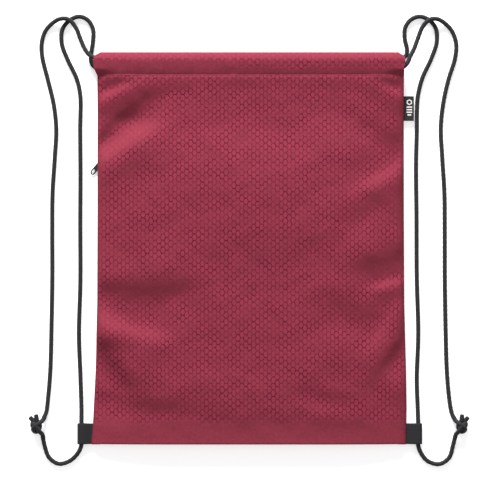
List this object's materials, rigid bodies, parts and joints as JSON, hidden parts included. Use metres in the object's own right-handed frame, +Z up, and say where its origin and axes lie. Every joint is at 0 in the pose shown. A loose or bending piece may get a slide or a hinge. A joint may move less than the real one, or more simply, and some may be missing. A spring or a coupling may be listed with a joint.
{
  "type": "drawstring backpack",
  "caption": "Flat drawstring backpack with a cinch mouth, cord shoulder straps through bottom corner loops, and a zipped side pocket, lying on its back.",
  "frame": {"origin": "on the surface the bag lies on, under the middle of the bag's box, cords left out", "axes": "+X across the bag to its right side seen from the front, +Y towards the mouth, +Z up out of the front panel"},
  "size_m": [0.474, 0.4848, 0.0186],
  "materials": {
    "printed_fabric": "fine woven polyester, crimson with a darker honeycomb print",
    "lining": "plain thin polyester lining and overlocked seam allowance",
    "webbing": "flat woven polyester webbing, dark grey",
    "cord": "round braided polyester cord, dark grey",
    "label": "woven damask label, near black with a plain pale device",
    "zip_tape": "woven polyester zip tape, black",
    "zip_coil": "nylon coil, black",
    "zip_metal": "die-cast zinc, painted black, satin"
  },
  "bodies": {
    "bag": {"front_panel": "printed_fabric", "back_panel": "printed_fabric", "front_channel": "printed_fabric", "back_channel": "printed_fabric", "left_seam_upper": "lining", "left_seam_lower": "lining", "right_seam": "lining", "bottom_seam": "lining", "left_corner_tab": "webbing", "right_corner_tab": "webbing", "zip_tape_outer": "zip_tape", "zip_tape_inner": "zip_tape", "zip_coil_outer": "zip_coil", "zip_coil_inner": "zip_coil", "zip_top_stop_outer": "zip_metal", "zip_top_stop_inner": "zip_metal", "zip_bottom_stop": "zip_metal", "pocket_lining_back": "lining", "pocket_lining_front": "lining", "left_cord_outer_strand": "cord", "left_cord_inner_strand": "cord", "left_cord_in_hem": "cord", "left_cord_knot": "cord", "right_cord_outer_strand": "cord", "right_cord_inner_strand": "cord", "right_cord_in_hem": "cord", "right_cord_knot": "cord"},
    "slider": {"zip_slider": "zip_metal"},
    "pull": {"zip_pull": "zip_metal"},
    "label": {"side_label": "label"}
  },
  "joints": [
    {"name": "zip_slide", "type": "slide", "parent": "bag", "child": "slider", "axis": [0, -1, 0], "range_m": [0, 0.148]},
    {"name": "pull_swing", "type": "hinge", "parent": "slider", "child": "pull", "pos_m": [-0.156, 0.0964, 0.0016], "axis": [0, 0, 1], "range_deg": [-8, 38]},
    {"name": "label_flip", "type": "hinge", "parent": "bag", "child": "label", "pos_m": [0.16536, 0.15, 0.0044], "axis": [0, -1, 0], "range_deg": [0, 95]}
  ]
}
